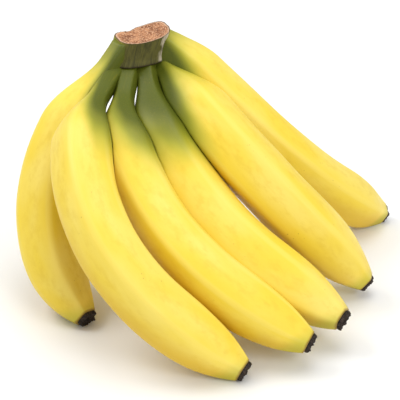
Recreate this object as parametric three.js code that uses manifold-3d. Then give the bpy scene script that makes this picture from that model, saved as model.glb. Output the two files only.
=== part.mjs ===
import * as THREE from 'three';
import { mergeVertices } from 'three/addons/utils/BufferGeometryUtils.js';
import Module from 'manifold-3d';

// A hand of ripe bananas standing on its fruit like a claw, the cut crown uppermost.
// Lengths are millimetres and angles degrees. The surface it rests on is z = 0.

// Crown: the woody pad that every stalk grows from, knifed flat on top.
// Its wall ends below in a lip that overhangs a narrower heel, where the stalks join.
const CROWN_CENTRE = new THREE.Vector3(-39.36, 66.45, 123);
const CROWN_YAW = 30;
const CROWN_HALF_LENGTH = 16;
const CROWN_HALF_DEPTH = 9;
const CROWN_SQUARENESS = 3;
const CROWN_HOOK = 3;
const CROWN_LEAN = 4;
const CROWN_BACK_SLOPE = 5;
const CROWN_CUT = 8;
const CROWN_CUT_TILT = 4;
const CROWN_CUT_PITCH = 8;
const CROWN_LIP = 0.8;
const CROWN_LIP_LEVEL = -7.2;
const CROWN_LIP_HEIGHT = 4;
const HEEL_INSET = 3.5;
const HEEL_LEVEL = -18;

// Section of a finger: five soft ridges run from the stalk to the blossom end.
const RIDGES = 5;
const RIDGE_HEIGHT = 0.7;
const STALK_RADIUS = 6;
const STALK_SUNK = 4;
const NECK_LENGTH = 44;
const TIP_RADIUS = 5.2;
const TIP_TAPER = 55;
const TIP_FULLNESS = 2.6;

// Shares of a finger's length between which its neck, body, tip and nose bend.
const NECK_BEND_FROM = 0.06;
const NECK_BEND_TO = 0.36;
const BODY_BEND_FROM = 0.15;
const BODY_BEND_TO = 1.15;
const TIP_BEND_FROM = 0.72;
const TIP_BEND_TO = 1;
const NOSE_BEND_FROM = 0.88;

// Dried flower at the blossom end of each finger.
const FLOWER_LENGTH = 2.8;
const FLOWER_SUNK = 2;
const FLOWER_RADIUS = 5.5;
const FLOWER_RIM_RADIUS = 4.6;
const FLOWER_RIDGE = 0.4;
const FLOWER_PIT = 0.9;

// Fingers from left to right. Root is the stalk's place on the crown: along, across and up.
// Heading and dip aim the stalk, roll leans the plane in which the finger bends,
// and nose turns the last of the tip to the inner side of the bend and to its flank.
const FINGERS = [
  {
    root: [-9.5, 2.5, 6], heading: 218, dip: 43.5, roll: 58.5, neck: 2, body: 69, tip: 7,
    nose: [0, -9], length: 177.5, radius: 17, stalk: 18,
  },
  {
    root: [-18, 2, -11], heading: 253, dip: 9.5, roll: 50, neck: 16, body: 100, tip: -15,
    nose: [-22, -19], length: 231, radius: 16.5, stalk: 27,
  },
  {
    root: [-11, -1, -11.5], heading: 263.5, dip: 21, roll: 66.5, neck: 22, body: 63, tip: -8,
    nose: [-8, -9], length: 212, radius: 16, stalk: 19,
  },
  {
    root: [-1.5, -3, -11], heading: 281, dip: 35.5, roll: 91, neck: 17, body: 37, tip: -5,
    nose: [-4, -9], length: 194, radius: 17, stalk: 6,
  },
  {
    root: [8.5, 3.5, -9.5], heading: 304.5, dip: 20, roll: 45, neck: 8, body: 58, tip: -2,
    nose: [-20, -3], length: 188.5, radius: 17, stalk: 6,
  },
  {
    root: [11.5, 3, 0.5], heading: 345.5, dip: 40.4, roll: 78, neck: -11, body: 68, tip: -4,
    nose: [-20, -14], length: 192.5, radius: 16, stalk: -13,
  },
];

// Front fingers keep their full form, and those behind are pressed in where they touch.
const FRONT_TO_BACK = [2, 3, 4, 5, 6, 1];
const CONTACT_GAP = 0.3;

// Fineness of the surfaces.
const FINGER_SIDES = 20;
const FINGER_RINGS = 26;
const RING_CROWDING = 0.08;
const CENTRE_LINE_STEPS = 80;
const CROWN_SIDES = 28;
const CUTTER_SIZE = 400;

const PEEL = { color: '#f2cf3a', roughness: 0.45, metalness: 0 };
const CROWN_BARK = { color: '#6f6432', roughness: 0.8, metalness: 0 };
const DRIED_FLOWER = { color: '#2e2621', roughness: 0.9, metalness: 0 };

const { degToRad, lerp, smoothstep } = THREE.MathUtils;
const UP = new THREE.Vector3(0, 0, 1);

const wasm = await Module();
wasm.setup();

// A closed solid for joining and cutting, from any closed geometry.
function solidOf(geometry) {
  const bare = geometry.clone();
  bare.deleteAttribute('normal');
  bare.deleteAttribute('uv');
  const merged = mergeVertices(bare);
  return new wasm.Manifold(new wasm.Mesh({
    numProp: 3,
    vertProperties: Float32Array.from(merged.attributes.position.array),
    triVerts: Uint32Array.from(merged.index.array),
  }));
}

// A geometry from the largest body of a cut solid. Slivers left by the cuts are dropped.
function geometryOf(solid) {
  const bodies = solid.decompose();
  bodies.sort((first, second) => second.volume() - first.volume());
  const { vertProperties, triVerts } = bodies[0].getMesh();
  const geometry = new THREE.BufferGeometry();
  geometry.setAttribute('position', new THREE.BufferAttribute(vertProperties, 3));
  geometry.setIndex(new THREE.BufferAttribute(triVerts, 1));
  geometry.computeVertexNormals();
  return geometry;
}

function namedMesh(name, geometry, look) {
  const mesh = new THREE.Mesh(geometry, new THREE.MeshStandardMaterial(look));
  mesh.name = name;
  return mesh;
}

// Moves every vertex of a unit cylinder to where place(turn, along, out) puts it:
// turn is its angle round the axis, along runs 0 to 1 up the axis, out 0 to 1 from the axis.
function reshapedCylinder(sides, rings, place) {
  const geometry = new THREE.CylinderGeometry(1, 1, 1, sides, rings);
  const position = geometry.attributes.position;
  for (let i = 0; i < position.count; i += 1) {
    const turn = Math.atan2(position.getZ(i), position.getX(i));
    const out = Math.min(1, Math.hypot(position.getX(i), position.getZ(i)));
    const point = place(turn, position.getY(i) + 0.5, out);
    position.setXYZ(i, point.x, point.y, point.z);
  }
  return geometry;
}

const crownAlong = new THREE.Vector3(1, 0, 0).applyAxisAngle(UP, degToRad(CROWN_YAW));
const crownAcross = new THREE.Vector3(0, 1, 0).applyAxisAngle(UP, degToRad(CROWN_YAW));

function onCrown(along, across, height) {
  return CROWN_CENTRE.clone()
    .addScaledVector(crownAlong, along)
    .addScaledVector(crownAcross, across)
    .addScaledVector(UP, height);
}

// Crown blank: a squarish oval pad that leans, its ends hooked back and its back sloping out.
function crownBlank(grown) {
  const power = 2 / CROWN_SQUARENESS;
  const profile = [
    { height: HEEL_LEVEL - grown, swell: -HEEL_INSET },
    { height: CROWN_LIP_LEVEL - grown, swell: -HEEL_INSET },
    { height: CROWN_LIP_LEVEL - grown, swell: CROWN_LIP },
    { height: CROWN_LIP_LEVEL + CROWN_LIP_HEIGHT, swell: 0 },
    { height: CROWN_CUT, swell: 0 },
    { height: CROWN_CUT * 2, swell: 0 },
  ];
  return reshapedCylinder(CROWN_SIDES, profile.length - 1, (turn, along, out) => {
    const { height, swell } = profile[Math.round(along * (profile.length - 1))];
    const below = (CROWN_CUT - height) / (CROWN_CUT - CROWN_LIP_LEVEL);
    const wide = out * Math.sign(Math.cos(turn)) * Math.abs(Math.cos(turn)) ** power;
    const deep = -out * Math.sign(Math.sin(turn)) * Math.abs(Math.sin(turn)) ** power;
    const back = CROWN_BACK_SLOPE * Math.max(0, deep) * Math.min(1, Math.max(0, below));
    const across = deep * (CROWN_HALF_DEPTH + swell + grown) + CROWN_HOOK * wide ** 2 + back;
    return onCrown(wide * (CROWN_HALF_LENGTH + swell + grown) - CROWN_LEAN * below, across, height);
  });
}

// Centre line of a finger: it leaves the crown straight, turns in one plane, and ends in its nose.
function centreLine(finger) {
  const heading = degToRad(finger.heading);
  const dip = degToRad(finger.dip);
  const roll = degToRad(finger.roll);
  const start = new THREE.Vector3(
    Math.cos(dip) * Math.cos(heading),
    Math.cos(dip) * Math.sin(heading),
    -Math.sin(dip),
  );
  const side = new THREE.Vector3(-Math.sin(heading), Math.cos(heading), 0);
  const inward = new THREE.Vector3().crossVectors(side, start)
    .multiplyScalar(Math.cos(roll))
    .addScaledVector(side, Math.sin(roll));
  const plane = new THREE.Vector3().crossVectors(inward, start);
  const [noseIn, noseOut] = finger.nose.map((angle) => Math.tan(degToRad(angle)));

  const bodyBendWhole = smoothstep(1, BODY_BEND_FROM, BODY_BEND_TO);
  const bendAt = (share) => degToRad(
    finger.neck * smoothstep(share, NECK_BEND_FROM, NECK_BEND_TO)
    + finger.body * smoothstep(share, BODY_BEND_FROM, BODY_BEND_TO) / bodyBendWhole
    + finger.tip * smoothstep(share, TIP_BEND_FROM, TIP_BEND_TO),
  );
  const forwardAt = (share) => {
    const bend = bendAt(share);
    const nose = smoothstep(share, NOSE_BEND_FROM, 1);
    const forward = start.clone().multiplyScalar(Math.cos(bend))
      .addScaledVector(inward, Math.sin(bend));
    const inner = new THREE.Vector3().crossVectors(forward, plane);
    return forward.addScaledVector(inner, noseIn * nose)
      .addScaledVector(plane, noseOut * nose)
      .normalize();
  };

  const step = 1 / CENTRE_LINE_STEPS;
  const points = [onCrown(...finger.root)];
  for (let i = 0; i < CENTRE_LINE_STEPS; i += 1) {
    const chord = forwardAt((i + 0.5) * step).multiplyScalar(finger.length * step);
    points.push(points[i].clone().add(chord));
  }

  return (distance) => {
    const share = distance / finger.length;
    const forward = forwardAt(share);
    const nearest = THREE.MathUtils.clamp(Math.floor(share / step), 0, CENTRE_LINE_STEPS);
    const beyond = distance - nearest * step * finger.length;
    const point = points[nearest].clone().addScaledVector(forward, beyond);
    const inner = new THREE.Vector3().crossVectors(forward, plane).normalize();
    const flank = new THREE.Vector3().crossVectors(inner, forward);
    return { point, forward, inner, flank };
  };
}

// Girth along a finger: slim stalk, flaring neck, even body and a tip drawn in.
function girth(finger, distance) {
  const flare = smoothstep(distance, finger.stalk, finger.stalk + NECK_LENGTH);
  const body = lerp(STALK_RADIUS, finger.radius, flare);
  const toTip = THREE.MathUtils.clamp((finger.length - distance) / TIP_TAPER, 0, 1);
  return lerp(TIP_RADIUS, body, 1 - (1 - toTip) ** TIP_FULLNESS);
}

function fingerBlank(finger, grown) {
  const frameAt = centreLine(finger);
  const from = -STALK_SUNK;
  const to = finger.length - FLOWER_SUNK + grown;
  return reshapedCylinder(FINGER_SIDES, FINGER_RINGS, (turn, along, out) => {
    const distance = lerp(from, to, along - RING_CROWDING * Math.sin(2 * Math.PI * along));
    const { point, inner, flank } = frameAt(distance);
    const round = girth(finger, distance);
    const ridge = RIDGE_HEIGHT * Math.sqrt(round / finger.radius) * Math.cos(RIDGES * turn);
    const radius = out * (round + ridge + grown);
    return point
      .addScaledVector(inner, radius * Math.cos(turn))
      .addScaledVector(flank, radius * Math.sin(turn));
  });
}

// Dried flower: a short five-sided stub, widest at its root, with a pit in its end.
function flowerEnd(finger) {
  const frameAt = centreLine(finger);
  const root = finger.length - FLOWER_SUNK + CONTACT_GAP;
  const { point: seat, forward, inner, flank } = frameAt(root);
  return reshapedCylinder(FINGER_SIDES, 2, (turn, along, out) => {
    const pit = along === 1 ? FLOWER_PIT * (1 - out) : 0;
    const round = lerp(FLOWER_RADIUS, FLOWER_RIM_RADIUS, along ** 2);
    const radius = out * (round + FLOWER_RIDGE * Math.cos(RIDGES * turn));
    return seat.clone()
      .addScaledVector(forward, along * FLOWER_LENGTH - pit)
      .addScaledVector(inner, radius * Math.cos(turn))
      .addScaledVector(flank, radius * Math.sin(turn));
  });
}

// Everything above the knife cut, and everything below the surface that the bunch rests on.
const aboveCut = new THREE.BoxGeometry(CUTTER_SIZE, CUTTER_SIZE, CUTTER_SIZE)
  .translate(0, 0, CUTTER_SIZE / 2)
  .rotateX(degToRad(CROWN_CUT_PITCH))
  .rotateY(-degToRad(CROWN_CUT_TILT))
  .rotateZ(degToRad(CROWN_YAW));
const cutCentre = onCrown(0, 0, CROWN_CUT);
aboveCut.translate(cutCentre.x, cutCentre.y, cutCentre.z);
const belowFloor = new THREE.BoxGeometry(CUTTER_SIZE, CUTTER_SIZE, CUTTER_SIZE)
  .translate(0, 0, -CUTTER_SIZE / 2);
const waste = solidOf(aboveCut).add(solidOf(belowFloor));

const bunch = new THREE.Group();
bunch.name = 'bunch_of_bananas';

const crown = solidOf(crownBlank(0)).subtract(waste);
bunch.add(namedMesh('crown', geometryOf(crown), CROWN_BARK));

let taken = solidOf(crownBlank(CONTACT_GAP)).add(waste);
for (const number of FRONT_TO_BACK) {
  const finger = FINGERS[number - 1];
  const fruit = solidOf(fingerBlank(finger, 0)).subtract(taken);
  bunch.add(namedMesh(`finger_${number}`, geometryOf(fruit), PEEL));
  const flower = solidOf(flowerEnd(finger)).subtract(waste);
  bunch.add(namedMesh(`flower_end_${number}`, geometryOf(flower), DRIED_FLOWER));
  taken = taken.add(solidOf(fingerBlank(finger, CONTACT_GAP)));
}

export default bunch;
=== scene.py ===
from math import atan2, cos, exp, floor, hypot, pi, radians, sin, tan

import bmesh
import bpy
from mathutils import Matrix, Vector, noise
from mathutils.kdtree import KDTree


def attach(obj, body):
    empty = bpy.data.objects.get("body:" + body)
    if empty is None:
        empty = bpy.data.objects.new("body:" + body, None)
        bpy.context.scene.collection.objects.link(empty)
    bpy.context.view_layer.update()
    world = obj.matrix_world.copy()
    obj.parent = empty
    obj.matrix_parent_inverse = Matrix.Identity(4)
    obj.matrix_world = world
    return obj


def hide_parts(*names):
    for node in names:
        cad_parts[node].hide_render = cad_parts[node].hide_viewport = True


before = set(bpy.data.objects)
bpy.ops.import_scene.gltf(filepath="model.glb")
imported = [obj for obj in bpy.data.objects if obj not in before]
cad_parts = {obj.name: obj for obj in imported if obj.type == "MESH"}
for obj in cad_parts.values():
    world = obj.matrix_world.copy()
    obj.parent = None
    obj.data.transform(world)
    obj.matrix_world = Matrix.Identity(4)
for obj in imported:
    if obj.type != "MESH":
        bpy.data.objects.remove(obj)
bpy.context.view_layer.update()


# ---------------------------------------------------------------- Crown
# The woody pad at the top, where every stalk grew from the stem of the plant.
# Its wall is dried olive bark with upright fibres. Its lower lip and the top of the heel
# below it are darkened with painted shade, and its right end has pale streaks of dried
# fibre with a painted sheen. A knife took it from the stem, and the cut face has dried to a
# speckled red-brown with a thin rim.
CROWN_CENTRE = Vector((-0.03936, 0.06645, 0.123))
CROWN_YAW = radians(30)
CROWN_HALF_LENGTH = 0.016
CROWN_HALF_DEPTH = 0.009
CROWN_SQUARENESS = 3
CROWN_HOOK = 0.003
CROWN_LEAN = 0.004
CROWN_BACK_SLOPE = 0.005
CROWN_CUT = 0.008
CROWN_CUT_TILT = radians(4)
CROWN_CUT_PITCH = radians(8)
CROWN_WALL = 0.015
CROWN_LIP = 0.0008
CROWN_LIP_LEVEL = -0.0072
CROWN_LIP_SHARE = 0.30
CROWN_WAIST = 0.0004
CROWN_FIBRE_DEPTH = 0.0003
CROWN_NOTCH = 0.0028
CROWN_NOTCH_PLACE = -0.42
CROWN_NOTCH_WIDTH = 0.22
HEEL_INSET = 0.0035
HEEL_LEVEL = -0.018
CUT_RIM_HEIGHT = 0.0003
CUT_GRAIN = 0.00022
STALK_BELOW_CUT = 0.0008
CROWN_SIDES = 200
HEEL_RINGS = 6
LIP_RINGS = 5
WALL_RINGS = 36
CUT_RINGS = 30

BARK_OLIVE = (0.120, 0.110, 0.024, 1)
BARK_DARK = (0.050, 0.046, 0.013, 1)
BARK_LIP_SHADE = (0.026, 0.014, 0.006, 1)
BARK_LIME = (0.300, 0.270, 0.045, 1)
BARK_DRY_AND_SHEEN = (0.620, 0.540, 0.420, 1)
CUT_TAN = (0.560, 0.270, 0.135, 1)
CUT_DARK = (0.150, 0.052, 0.024, 1)
CUT_PALE = (0.800, 0.560, 0.380, 1)
CUT_RIM = (0.130, 0.070, 0.045, 1)


def blend(a, b, share):
    return a + (b - a) * share


def ease(value, start, stop):
    """Rises smoothly from 0 at start to 1 at stop."""
    share = min(1, max(0, (value - start) / (stop - start)))
    return share * share * (3 - 2 * share)


def rolled_skin(sides, stations, place, traits):
    """Rolls a flat grid into a closed skin, with one row of points for each station.
    place(turn, station) gives a point and its traits, which the finish reads by name."""
    skin = bmesh.new()
    layers = {}
    for name, kind in traits.items():
        layers[name] = getattr(skin.verts.layers, kind).new(name)
    rows = len(stations) - 1
    bmesh.ops.create_grid(skin, x_segments=sides, y_segments=rows, size=1)
    for vert in skin.verts:
        station = stations[round((vert.co.y + 1) / 2 * rows)]
        vert.co, values = place(pi * vert.co.x, station)
        for name, layer in layers.items():
            vert[layer] = values[name]
    bmesh.ops.remove_doubles(skin, verts=skin.verts, dist=1e-6)
    bmesh.ops.recalc_face_normals(skin, faces=skin.faces)
    for face in skin.faces:
        face.smooth = True
    return skin


def grown_piece(name, skin, finishes):
    """Makes a skin into an object of the bunch."""
    mesh = bpy.data.meshes.new(name)
    skin.to_mesh(mesh)
    skin.free()
    for finish in finishes:
        mesh.materials.append(finish)
    piece = bpy.data.objects.new(name, mesh)
    bpy.context.collection.objects.link(piece)
    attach(piece, "root")
    return piece


class Tone:
    """A socket of a finish. Sums on it are written as expressions and become Math nodes."""

    def __init__(self, tree, socket=None):
        self.tree = tree
        self.socket = socket

    def node(self, kind, settings, sockets, output=0):
        """Adds a node: its settings first, then the values or links of its sockets."""
        added = self.tree.nodes.new(kind)
        for name, value in settings.items():
            setattr(added, name, value)
        for key, value in sockets.items():
            if isinstance(value, Tone):
                self.tree.links.new(value.socket, added.inputs[key])
            else:
                added.inputs[key].default_value = value
        return Tone(self.tree, added.outputs[output])

    def maths(self, operation, first, second=0.0):
        return self.node("ShaderNodeMath", {"operation": operation}, {0: first, 1: second})

    def __add__(self, other):
        return self.maths("ADD", self, other)

    __radd__ = __add__

    def __sub__(self, other):
        return self.maths("SUBTRACT", self, other)

    def __rsub__(self, other):
        return self.maths("SUBTRACT", other, self)

    def __mul__(self, other):
        return self.maths("MULTIPLY", self, other)

    __rmul__ = __mul__

    def trait(self, name, output="Fac"):
        return self.node("ShaderNodeAttribute", {"attribute_name": name}, {}, output)

    def rise(self, start, stop):
        """Smooth step from 0 where this is start to 1 where it is stop."""
        return self.node(
            "ShaderNodeMapRange",
            {"interpolation_type": "SMOOTHSTEP"},
            {"Value": self, "From Min": start, "From Max": stop},
        )

    def stretched(self, across, along):
        """This vector scaled across and along the piece, for fibres and clouds."""
        return self.node(
            "ShaderNodeVectorMath", {"operation": "MULTIPLY"}, {0: self, 1: (across, across, along)}
        )

    def cloud(self, detail=2.0, roughness=0.5):
        """Soft noise between 0 and 1 on this vector."""
        return self.node(
            "ShaderNodeTexNoise",
            {},
            {"Vector": self, "Scale": 1.0, "Detail": detail, "Roughness": roughness},
        )

    def cells(self, output="Distance"):
        """Distance to the nearest of scattered points on this vector."""
        return self.node("ShaderNodeTexVoronoi", {}, {"Vector": self, "Scale": 1.0}, output)

    def mixed(self, first, second):
        """first where this is 0, second where it is 1."""
        return self.node(
            "ShaderNodeMix", {"data_type": "RGBA"}, {0: self, 6: first, 7: second}, output=2
        )

    def relief(self, distance, strength):
        """Normals of a surface raised by this."""
        return self.node(
            "ShaderNodeBump", {}, {"Height": self, "Distance": distance, "Strength": strength}
        )


def new_finish(name, steady, shade):
    """A finish: steady values go on the shader's own sockets, shade(tone) gives the rest."""
    finish = bpy.data.materials.new(name)
    finish.use_nodes = True
    tree = finish.node_tree
    shader = tree.nodes["Principled BSDF"]
    for key, value in steady.items():
        shader.inputs[key].default_value = value
    for key, tone in shade(Tone(tree)).items():
        tree.links.new(tone.socket, shader.inputs[key])
    return finish


def bark_shade(tone):
    lie = tone.trait("lie", "Vector")
    rise = tone.trait("rise")
    end = tone.trait("end")
    fibre = lie.stretched(1500, 130).cloud(3, 0.6)
    patch = lie.stretched(160, 160).cloud(2)
    streak = lie.stretched(700, 90).cloud(2)
    # Darkest at the bottom of the wall and the top of the heel: painted shade under the overhanging
    # lip.
    lip = (1 - (rise + 0.06 * patch).rise(0.03, 0.12)) * rise.rise(-0.3, -0.05)
    # Pale grey streaks at the right end: real dried fibres with a painted sheen on them.
    dry_streak_and_sheen = (end + 0.5 * patch).rise(0.72, 0.92) * streak.rise(0.34, 0.50)
    colour = (fibre + 0.5 * patch).rise(0.45, 0.95).mixed(BARK_DARK, BARK_OLIVE)
    young = (1 - (end + 0.3 * patch).rise(-0.86, -0.6)) * rise.rise(0, 0.5)
    colour = young.mixed(colour, BARK_LIME)
    colour = (dry_streak_and_sheen * 0.85).mixed(colour, BARK_DRY_AND_SHEEN)
    colour = (lip * 0.9).mixed(colour, BARK_LIP_SHADE)
    return {
        "Base Color": colour,
        "Roughness": 0.62 + 0.25 * fibre,
        "Normal": fibre.relief(0.0005, 0.5),
    }


def cut_shade(tone):
    lie = tone.trait("lie", "Vector")
    rim = tone.trait("rim")
    grain = lie.stretched(800, 800).cells()
    speck = lie.stretched(1000, 1000).cloud(3, 0.7)
    patch = lie.stretched(220, 220).cloud(2)
    colour = (speck + 0.5 * patch).rise(0.58, 0.88).mixed(CUT_DARK, CUT_TAN)
    colour = ((1 - grain.rise(0.08, 0.36)) * 0.6).mixed(colour, CUT_PALE)
    colour = (speck.rise(0.56, 0.66) * 0.5).mixed(colour, CUT_PALE)
    colour = ((rim + 0.06 * speck).rise(0.93, 0.97) * 0.6).mixed(colour, CUT_PALE)
    colour = (rim + 0.03 * speck).rise(0.96, 0.99).mixed(colour, CUT_RIM)
    return {
        "Base Color": colour,
        "Roughness": 0.75 + 0.2 * speck,
        "Normal": (speck - grain).relief(0.0006, 0.6),
    }


bark = new_finish("crown_bark", {"Specular IOR Level": 0.3}, bark_shade)
cut_face = new_finish("crown_cut_face", {"Specular IOR Level": 0.25}, cut_shade)

crown_along = Vector((cos(CROWN_YAW), sin(CROWN_YAW), 0))
crown_across = Vector((-sin(CROWN_YAW), cos(CROWN_YAW), 0))


def on_crown(along, across, height):
    return CROWN_CENTRE + crown_along * along + crown_across * across + Vector((0, 0, height))


def under_cut(point):
    """Height just below the knife cut over any place, where the stalks end."""
    away = point - CROWN_CENTRE
    tilt = away.dot(crown_along) * tan(CROWN_CUT_TILT)
    pitch = away.dot(crown_across) * tan(CROWN_CUT_PITCH)
    return CROWN_CENTRE.z + CROWN_CUT + tilt + pitch - STALK_BELOW_CUT


def crown_point(turn, station):
    """A station is its level (0 heel, 1 lip, 2 cut face), its swell and its share outwards."""
    level, swell, out = station
    power = 2 / CROWN_SQUARENESS
    wide = cos(turn) / max(abs(cos(turn)), 1e-9) * abs(cos(turn)) ** power
    deep = sin(turn) / max(abs(sin(turn)), 1e-9) * abs(sin(turn)) ** power
    rise = level - 1
    hook = CROWN_HOOK * (out * wide) ** 2
    top = CROWN_CUT + out * wide * CROWN_HALF_LENGTH * tan(CROWN_CUT_TILT)
    top += (out * deep * CROWN_HALF_DEPTH + hook) * tan(CROWN_CUT_PITCH)
    if rise < 0:
        height = blend(CROWN_LIP_LEVEL, HEEL_LEVEL, -rise)
    else:
        height = blend(CROWN_LIP_LEVEL, top, rise)
        upright = Vector((10 * cos(turn), 10 * sin(turn), 1.2 * rise))
        fibres = noise.noise(upright) + noise.noise(upright * 2.3)
        swell += CROWN_FIBRE_DEPTH * fibres - CROWN_WAIST * sin(pi * rise)
    below = (CROWN_CUT - height) / (CROWN_CUT - CROWN_LIP_LEVEL)
    notch = CROWN_NOTCH * exp(-((wide - CROWN_NOTCH_PLACE) / CROWN_NOTCH_WIDTH) ** 2)
    notch *= ease(deep, 0.1, 0.8) * ease(rise, 0.2, 1)
    slope = CROWN_BACK_SLOPE * max(0, deep) * min(1, max(0, below))
    along = out * wide * (CROWN_HALF_LENGTH + swell) - CROWN_LEAN * below
    across = out * (deep * (CROWN_HALF_DEPTH + swell - notch) + slope) + hook
    girdle = CROWN_HALF_LENGTH
    lie = Vector((girdle * cos(turn), girdle * sin(turn), CROWN_WALL * rise))
    if rise == 1:
        grain = noise.noise(Vector((along, across, 0)) * 900)
        height += CUT_RIM_HEIGHT * (ease(out, 0.7, 0.95) - 0.6) + CUT_GRAIN * grain * (1 - out)
        lie = Vector((along, across, CROWN_WALL))
    return on_crown(along, across, height), {"lie": lie, "rise": rise, "end": wide, "rim": out}


crown_stations = [(0, -HEEL_INSET, step / HEEL_RINGS) for step in range(HEEL_RINGS)]
crown_stations += [(step / HEEL_RINGS, -HEEL_INSET, 1) for step in range(HEEL_RINGS + 1)]
for step in range(1, LIP_RINGS + 1):
    crown_stations.append((1, blend(-HEEL_INSET, CROWN_LIP, step / LIP_RINGS), 1))
for step in range(1, WALL_RINGS + 1):
    lip = CROWN_LIP * (1 - ease(step / WALL_RINGS, 0, CROWN_LIP_SHARE))
    crown_stations.append((1 + step / WALL_RINGS, lip, 1))
crown_stations += [(2, 0, 1 - step / CUT_RINGS) for step in range(1, CUT_RINGS + 1)]
crown_skin = rolled_skin(
    CROWN_SIDES,
    crown_stations,
    crown_point,
    {"lie": "float_vector", "rise": "float", "end": "float", "rim": "float"},
)
rise_layer = crown_skin.verts.layers.float["rise"]
for face in crown_skin.faces:
    face.material_index = int(all(vert[rise_layer] == 1 for vert in face.verts))
for edge in crown_skin.edges:
    edge.smooth = len({face.material_index for face in edge.link_faces}) == 1
crown = grown_piece("crown_pad", crown_skin, [bark, cut_face])
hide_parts("crown")


# ---------------------------------------------------------------- Fingers
# The six fruit, each grown as one with its stalk: a waxy five-sided peel over soft flesh.
# Their stalks run into the crown, where they stay green the longest. Front fingers keep
# their full form, and those behind are pressed in where they touch.

# root is on the crown; heading and dip aim the stalk, roll turns the plane of the bends, and
# neck, body, tip and nose are bends, in degrees. The girth flares from stalk on. ripe is how
# many millimetres nearer to the crown the yellow starts. lit_side is the side each finger is
# lit from, on which the yellow is painted further up the stalk: painted light.
FINGERS = {
    1: dict(root=(-0.0095, 0.0025, 0.0060), heading=218, dip=43.5, roll=58.5, neck=2, body=69,
            tip=7, nose=(0, -9), length=0.1775, radius=0.0170, stalk=0.018,
            ripe=16, lit_side=(-0.90, -0.10, 0.42)),
    2: dict(root=(-0.0180, 0.0020, -0.0110), heading=253, dip=9.5, roll=50, neck=16, body=100,
            tip=-15, nose=(-22, -19), length=0.2310, radius=0.0165, stalk=0.027,
            ripe=0, lit_side=(-0.97, 0.00, 0.25)),
    3: dict(root=(-0.0110, -0.0010, -0.0115), heading=263.5, dip=21, roll=66.5, neck=22, body=63,
            tip=-8, nose=(-8, -9), length=0.2120, radius=0.0160, stalk=0.019,
            ripe=-3, lit_side=(-0.60, 0.00, 0.20)),
    4: dict(root=(-0.0015, -0.0030, -0.0110), heading=281, dip=35.5, roll=91, neck=17, body=37,
            tip=-5, nose=(-4, -9), length=0.1940, radius=0.0170, stalk=0.006,
            ripe=2, lit_side=(-0.25, 0.00, 0.10)),
    5: dict(root=(0.0085, 0.0035, -0.0095), heading=304.5, dip=20, roll=45, neck=8, body=58,
            tip=-2, nose=(-20, -3), length=0.1885, radius=0.0170, stalk=0.006,
            ripe=11, lit_side=(0.55, 0.10, 0.83)),
    6: dict(root=(0.0115, 0.0030, 0.0005), heading=345.5, dip=40.4, roll=78, neck=-11, body=68,
            tip=-4, nose=(-20, -14), length=0.1925, radius=0.0160, stalk=-0.013,
            ripe=30, lit_side=(0.30, 0.20, 0.93)),
}
FRONT_TO_BACK = (2, 3, 4, 5, 6, 1)
CONTACT_GAP = 0.0003
GROWN_TOGETHER = 0.022
RIDGES = 5
RIDGE_SHARPNESS = (0.8, 0.6)
RIDGE_SOFTNESS = (0.07, 0.11)
PENTAGON_MEAN = 0.874
STALK_RADIUS = 0.006
STALK_SUNK = 0.004
STALK_FILLET = 0.0004
STALK_FILLET_FROM = 0.006
STALK_FILLET_FADE = 0.004
NECK_LENGTH = 0.044
TIP_RADIUS = 0.0052
TIP_TAPER = 0.055
TIP_FULLNESS = 2.6
TIP_ROUNDING = 0.03
TIP_CAP = ((0.0002, 0.9), (-0.0006, 0.6), (-0.001, 0))
NECK_BEND = (0.06, 0.36)
BODY_BEND = (0.15, 1.15)
TIP_BEND = (0.72, 1.0)
NOSE_BEND = (0.88, 1.0)
FLOWER_SUNK = 0.002
PEEL_LUMPS = 0.00035
PEEL_SIDES = 80
PEEL_RINGS = 180

PEEL_YELLOW = (0.850, 0.630, 0.050, 1)
# A deeper gold: the peel's own mottling and fibres, and also painted shade on the undersides.
PEEL_GOLD = (0.690, 0.440, 0.020, 1)
# A pale yellow used as painted sheen and painted highlight on the peel.
PEEL_SHEEN = (0.880, 0.700, 0.140, 1)
PEEL_GREEN = (0.090, 0.110, 0.006, 1)
PEEL_LIME = (0.420, 0.410, 0.030, 1)
PEEL_TIP = (0.400, 0.400, 0.030, 1)
PEEL_FRECKLE = (0.250, 0.110, 0.020, 1)
LIT_SIDE_LEAD = 36
CLOUDY_LEAD = 20
GREEN_TO_LIME = (38, 72)
LIME_TO_YELLOW = (54, 84)


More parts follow.
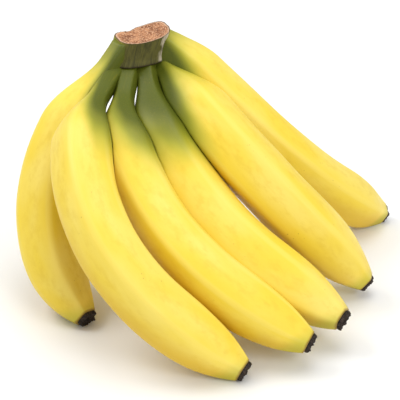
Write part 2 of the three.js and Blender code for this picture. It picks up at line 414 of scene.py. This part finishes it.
class CentreLine:
    """The middle of a finger: straight from the crown, bent in one plane, hooked at its nose."""

    STEPS = 160

    def __init__(self, finger):
        self.finger = finger
        heading, dip, roll = (radians(finger[key]) for key in ("heading", "dip", "roll"))
        self.start = Vector((cos(dip) * cos(heading), cos(dip) * sin(heading), -sin(dip)))
        side = Vector((-sin(heading), cos(heading), 0))
        self.inward = side.cross(self.start) * cos(roll) + side * sin(roll)
        self.plane = self.inward.cross(self.start)
        self.points = [on_crown(*finger["root"])]
        for step in range(self.STEPS):
            stride = self.forward((step + 0.5) / self.STEPS) * finger["length"] / self.STEPS
            self.points.append(self.points[-1] + stride)

    def forward(self, share):
        finger = self.finger
        bend = radians(
            finger["neck"] * ease(share, *NECK_BEND)
            + finger["body"] * ease(share, *BODY_BEND) / ease(1, *BODY_BEND)
            + finger["tip"] * ease(share, *TIP_BEND)
        )
        way = self.start * cos(bend) + self.inward * sin(bend)
        hooked = ease(share, *NOSE_BEND)
        nose_in, nose_out = (tan(radians(turn)) * hooked for turn in finger["nose"])
        return (way + way.cross(self.plane) * nose_in + self.plane * nose_out).normalized()

    def at(self, distance):
        """The point, the way on, the inner side of the bend and its flank at a distance."""
        share = distance / self.finger["length"]
        forward = self.forward(share)
        nearest = min(self.STEPS, max(0, floor(share * self.STEPS)))
        beyond = distance - nearest / self.STEPS * self.finger["length"]
        inner = forward.cross(self.plane).normalized()
        return self.points[nearest] + forward * beyond, forward, inner, inner.cross(forward)


def girth(finger, distance):
    """Mean radius: slim stalk, flaring neck, even body and a tip drawn in."""
    flare = ease(distance, finger["stalk"], finger["stalk"] + NECK_LENGTH)
    body = blend(STALK_RADIUS, finger["radius"], flare)
    to_tip = min(1, max(0, (finger["length"] - distance) / TIP_TAPER))
    fillet = STALK_FILLET * exp(-max(0, distance - STALK_FILLET_FROM) / STALK_FILLET_FADE)
    return blend(TIP_RADIUS, body, 1 - (1 - to_tip) ** TIP_FULLNESS) + fillet


def five_sided(turn, sharpness, softness):
    """Radius of a five-sided section round a mean of 1, its ridges softened."""
    half = pi / RIDGES
    off_ridge = abs((turn + half) % (2 * half) - half)
    corner = min(half, hypot(off_ridge, softness))
    return 1 + sharpness * (cos(half) / cos(half - corner) / PENTAGON_MEAN - 1)


def peel_radius(number, finger, distance, turn):
    round_body = ease(distance, finger["stalk"], finger["stalk"] + NECK_LENGTH)
    round_body *= ease(finger["length"] - distance, 0, TIP_ROUNDING)
    sharpness = blend(*RIDGE_SHARPNESS, round_body)
    section = five_sided(turn, sharpness, blend(*RIDGE_SOFTNESS, round_body))
    place = Vector((1.3 * cos(turn), 1.3 * sin(turn), distance * 40 + 17 * number))
    lumps = PEEL_LUMPS * noise.noise(place) * round_body
    return girth(finger, distance) * section + lumps


def peel_shade(tone):
    lie = tone.trait("lie", "Vector")
    ridge = tone.trait("ridge")
    lit_side = tone.trait("lit_side")
    stalk = tone.trait("from_crown")
    below = tone.trait("below")
    tip = tone.trait("to_tip")
    cloud = lie.stretched(55, 22).cloud(2)
    mottle = lie.stretched(260, 150).cloud(3, 0.6)
    fibre = lie.stretched(2600, 120).cloud(2, 0.6)
    # The lime and yellow reach further up the stalk on the lit side: painted light over the stalk's
    # real green, which fades unevenly towards the body.
    reach = stalk - 10 + LIT_SIDE_LEAD * lit_side.rise(-0.3, 0.7) + CLOUDY_LEAD * (cloud - 0.5)
    ripe = reach.rise(*LIME_TO_YELLOW)
    lime = reach.rise(*GREEN_TO_LIME)
    # Soft pale clouds over the yellow: painted sheen.
    colour = cloud.rise(0.3, 0.75).mixed(PEEL_YELLOW, PEEL_SHEEN)
    # Paler lines along the ridges are a painted highlight. The golden mottling is the peel's own,
    # but it is kept off the ridges, so the flats between them are darker as painted shade.
    off_ridge = 1 - ridge.rise(-0.6, 0.9)
    colour = (mottle.rise(0.40, 0.75) * off_ridge * 0.30).mixed(colour, PEEL_GOLD)
    colour = (ridge.rise(0.70, 1.0) * 0.45).mixed(colour, PEEL_SHEEN)
    # Faces turned downwards go golden and darker: painted shade on the lower flanks.
    painted_underside_shade = (below + 0.4 * (cloud - 0.5)).rise(-0.25, 0.45)
    colour = (painted_underside_shade * 0.85).mixed(colour, PEEL_GOLD)
    neck = lime.mixed(PEEL_GREEN, PEEL_LIME)
    colour = ripe.mixed(neck, colour)
    # The tip stays green, and the green reaches further on its underside as painted shade.
    tip_green_and_shade = 1 - (tip + 8 * (cloud - 0.5) - 7 * below).rise(1, 13)
    colour = (tip_green_and_shade * 0.65).mixed(colour, PEEL_TIP)
    colour = (fibre.rise(0.5, 0.8) * 0.10).mixed(colour, PEEL_GOLD)
    spots = lie.stretched(420, 260).cells()
    chosen = lie.stretched(70, 45).cloud(2).rise(0.56, 0.66)
    freckle = (1 - spots.rise(0.05, 0.11)) * chosen * 0.55
    colour = freckle.mixed(colour, PEEL_FRECKLE)
    dried_edge = 1 - (tip + 1.2 * mottle).rise(0.6, 1.8)
    colour = (dried_edge * 0.7).mixed(colour, PEEL_FRECKLE)
    return {
        "Base Color": colour,
        "Roughness": 0.36 + 0.14 * mottle + 0.06 * fibre,
        "Normal": (mottle + 0.5 * fibre).relief(0.0004, 0.25),
    }


peel = new_finish("banana_peel", {"Specular IOR Level": 0.32}, peel_shade)

centre_lines = {number: CentreLine(finger) for number, finger in FINGERS.items()}


class Pressing:
    """A finger in front, which presses in the ones behind."""

    SAMPLES = 240

    def __init__(self, number):
        self.number = number
        self.finger = FINGERS[number]
        self.line = centre_lines[number]
        self.spots = []
        self.tree = KDTree(self.SAMPLES + 1)
        for sample in range(self.SAMPLES + 1):
            distance = sample / self.SAMPLES * self.finger["length"]
            point, _, inner, flank = self.line.at(distance)
            self.spots.append((distance, point, inner, flank))
            self.tree.insert(point, sample)
        self.tree.balance()

    def push(self, point):
        """Moves a point that lies in this finger out to its skin."""
        _, sample, apart = self.tree.find(point)
        distance, middle, inner, flank = self.spots[sample]
        away = point - middle
        turn = atan2(away.dot(flank), away.dot(inner))
        skin = peel_radius(self.number, self.finger, distance, turn) + CONTACT_GAP
        if apart >= skin or apart == 0:
            return point
        return middle + away * (skin / apart)


def finger_skin(number, in_front):
    finger = FINGERS[number]
    line = centre_lines[number]
    end = finger["length"] - FLOWER_SUNK
    stations = [(-STALK_SUNK, 0), (-STALK_SUNK, 0.6)]
    for step in range(PEEL_RINGS + 1):
        stations.append((blend(-STALK_SUNK, end, step / PEEL_RINGS), 1))
    stations += [(end + step, out) for step, out in TIP_CAP]
    frames = {distance: line.at(distance) for distance, _ in stations}

    def place(turn, station):
        distance, out = station
        middle, _, inner, flank = frames[distance]
        radius = out * peel_radius(number, finger, min(distance, end), turn)
        point = middle + inner * radius * cos(turn) + flank * radius * sin(turn)
        free = ease(distance, GROWN_TOGETHER, 2 * GROWN_TOGETHER)
        if free > 0:
            pressed = point
            for front in in_front:
                pressed = front.push(pressed)
            point = point.lerp(pressed, free)
        point.z = min(max(0, point.z), under_cut(point))
        thick = girth(finger, distance)
        facing = inner * cos(turn) + flank * sin(turn)
        return point, {
            "lie": Vector((thick * cos(turn), thick * sin(turn), distance + 0.4 * number)),
            "ridge": cos(RIDGES * turn),
            "lit_side": facing.dot(Vector(finger["lit_side"])),
            "below": -facing.z,
            "from_crown": distance * 1000 + finger["ripe"],
            "to_tip": (end - distance) * 1000,
        }

    traits = {"lie": "float_vector", "ridge": "float", "lit_side": "float"}
    traits.update({"below": "float", "from_crown": "float", "to_tip": "float"})
    return rolled_skin(PEEL_SIDES, stations, place, traits)


in_front = []
for number in FRONT_TO_BACK:
    banana = grown_piece(f"banana_{number}", finger_skin(number, in_front), [peel])
    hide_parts(f"finger_{number}")
    in_front.append(Pressing(number))


# ---------------------------------------------------------------- Flower ends
# What is left of the flower at the tip of each finger: a short five-lobed stub of black,
# dried tissue. It grew on the fruit, and has shrunk to a ragged rim round a star-shaped pit.
FLOWER_LENGTH = 0.0028
FLOWER_RADIUS = 0.0055
FLOWER_RIM_RADIUS = 0.0046
FLOWER_LOBE = 0.0007
FLOWER_PIT = 0.0009
FLOWER_RAGGED = 0.0013
FLOWER_STAR = 0.0004
FLOWER_STUB = 0.0009
FLOWER_CRUMB = 0.00018
FLOWER_SIDES = 100
FLOWER_SEAT_RINGS = 4
FLOWER_WALL_RINGS = 14
FLOWER_FACE_RINGS = 18

FLOWER_BLACK = (0.014, 0.010, 0.008, 1)
FLOWER_BROWN = (0.060, 0.040, 0.028, 1)
FLOWER_GREY = (0.110, 0.092, 0.078, 1)


def flower_shade(tone):
    lie = tone.trait("lie", "Vector")
    wall = tone.trait("wall")
    fibre = lie.stretched(1500, 320).cloud(3, 0.65)
    crumb = lie.stretched(2200, 2200).cloud(3, 0.7)
    colour = fibre.rise(0.38, 0.66).mixed(FLOWER_BLACK, FLOWER_BROWN)
    colour = (crumb.rise(0.54, 0.72) * (1 - wall) * 0.7).mixed(colour, FLOWER_GREY)
    colour = (crumb.rise(0.60, 0.75) * wall * 0.35).mixed(colour, FLOWER_GREY)
    return {
        "Base Color": colour,
        "Roughness": 0.7 + 0.25 * crumb,
        "Normal": (fibre + crumb).relief(0.0006, 0.7),
    }


dried_flower = new_finish("dried_flower", {"Specular IOR Level": 0.3}, flower_shade)

flower_stations = [(0, step / FLOWER_SEAT_RINGS) for step in range(FLOWER_SEAT_RINGS)]
flower_stations += [(step / FLOWER_WALL_RINGS, 1) for step in range(FLOWER_WALL_RINGS + 1)]
flower_stations += [
    (1, 1 - step / FLOWER_FACE_RINGS) for step in range(1, FLOWER_FACE_RINGS + 1)
]


def flower_skin(number):
    tip = FINGERS[number]["length"] - FLOWER_SUNK
    seat, forward, inner, flank = centre_lines[number].at(tip + CONTACT_GAP)

    def place(turn, station):
        along, out = station
        round_place = Vector((2.6 * cos(turn), 2.6 * sin(turn), 7 * number))
        ragged = noise.noise(round_place) + 0.6 * noise.noise(round_place * 2.7)
        lobes = FLOWER_LOBE * cos(RIDGES * turn) + 0.5 * FLOWER_RAGGED * ragged
        drawn_in = blend(FLOWER_RADIUS, FLOWER_RIM_RADIUS, along ** 2)
        radius = out * (drawn_in + lobes * blend(0.4, 1, along))
        length = FLOWER_LENGTH - FLOWER_RAGGED * (0.6 - 0.5 * ragged)
        height = along * length
        if along == 1:
            pit = ease(out, 1, 0.55) * FLOWER_PIT
            star = FLOWER_STAR * cos(RIDGES * turn) * sin(pi * out) ** 2
            stub = FLOWER_STUB * (1 - ease(out, 0.12, 0.30))
            height += star + stub - pit
        crumb_place = Vector((cos(turn) * 6 * out, sin(turn) * 6 * out, along * 4 + number))
        crumb = FLOWER_CRUMB * noise.noise(crumb_place)
        point = seat + forward * (height + crumb * along)
        point += inner * radius * cos(turn) + flank * radius * sin(turn)
        point.z = max(0, point.z)
        wall = 1.0 if along < 1 else ease(out, 0.8, 1)
        lie = Vector((radius * cos(turn), radius * sin(turn), height + 0.1 * number))
        return point, {"lie": lie, "wall": wall}

    return rolled_skin(
        FLOWER_SIDES, flower_stations, place, {"lie": "float_vector", "wall": "float"}
    )


for number in FRONT_TO_BACK:
    flower = grown_piece(f"dried_flower_{number}", flower_skin(number), [dried_flower])
    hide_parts(f"flower_end_{number}")


# ---------------------------------------------------------------- Studio
# A plain white floor under a large soft light from above, with weaker ones from the
# front right and from the upper left.
FLOOR_WHITE = (0.90, 0.90, 0.89, 1)
FLOOR_HALF_SIZE = 6
ROOM_BRIGHTNESS = 0.64
LIGHT_AIM = Vector((0, 0, 0.05))
SOFT_LIGHTS = {
    "overhead_soft": dict(place=(0.10, 0.10, 1.30), size=0.9, power=5.5),
    "front_soft": dict(place=(0.75, -0.90, 0.80), size=0.7, power=6),
    "left_soft": dict(place=(-0.80, 0.25, 1.05), size=0.6, power=6),
}
VIEW_TARGET = Vector((-0.00788, 0.02799, 0.045))
VIEW_ELEVATION = radians(28)
VIEW_DISTANCE = 0.8
VIEW_LENS = 126
VIEW_SENSOR = 36

ground = bmesh.new()
bmesh.ops.create_grid(ground, x_segments=1, y_segments=1, size=FLOOR_HALF_SIZE)
ground_mesh = bpy.data.meshes.new("studio_floor")
ground.to_mesh(ground_mesh)
ground.free()
ground_mesh.materials.append(
    new_finish("studio_white", {"Base Color": FLOOR_WHITE, "Roughness": 0.9}, lambda tone: {})
)
studio_floor = bpy.data.objects.new("studio_floor", ground_mesh)
bpy.context.collection.objects.link(studio_floor)

for name, soft in SOFT_LIGHTS.items():
    lamp = bpy.data.lights.new(name, "AREA")
    lamp.shape = "DISK"
    lamp.size = soft["size"]
    lamp.energy = soft["power"]
    light = bpy.data.objects.new(name, lamp)
    light.location = soft["place"]
    light.rotation_euler = (LIGHT_AIM - light.location).to_track_quat("-Z", "Y").to_euler()
    bpy.context.collection.objects.link(light)

room = bpy.data.worlds.new("studio_room")
room.use_nodes = True
glow = room.node_tree.nodes["Background"]
glow.inputs["Color"].default_value = (1, 1, 1, 1)
glow.inputs["Strength"].default_value = ROOM_BRIGHTNESS
bpy.context.scene.world = room
bpy.context.scene.view_settings.view_transform = "Standard"

eye = bpy.data.cameras.new("viewer")
eye.sensor_width = VIEW_SENSOR
eye.lens = VIEW_LENS
viewer = bpy.data.objects.new("viewer", eye)
back_up = Vector((0, -cos(VIEW_ELEVATION), sin(VIEW_ELEVATION)))
viewer.location = VIEW_TARGET + VIEW_DISTANCE * back_up
viewer.rotation_euler = (pi / 2 - VIEW_ELEVATION, 0, 0)
bpy.context.collection.objects.link(viewer)
bpy.context.scene.camera = viewer
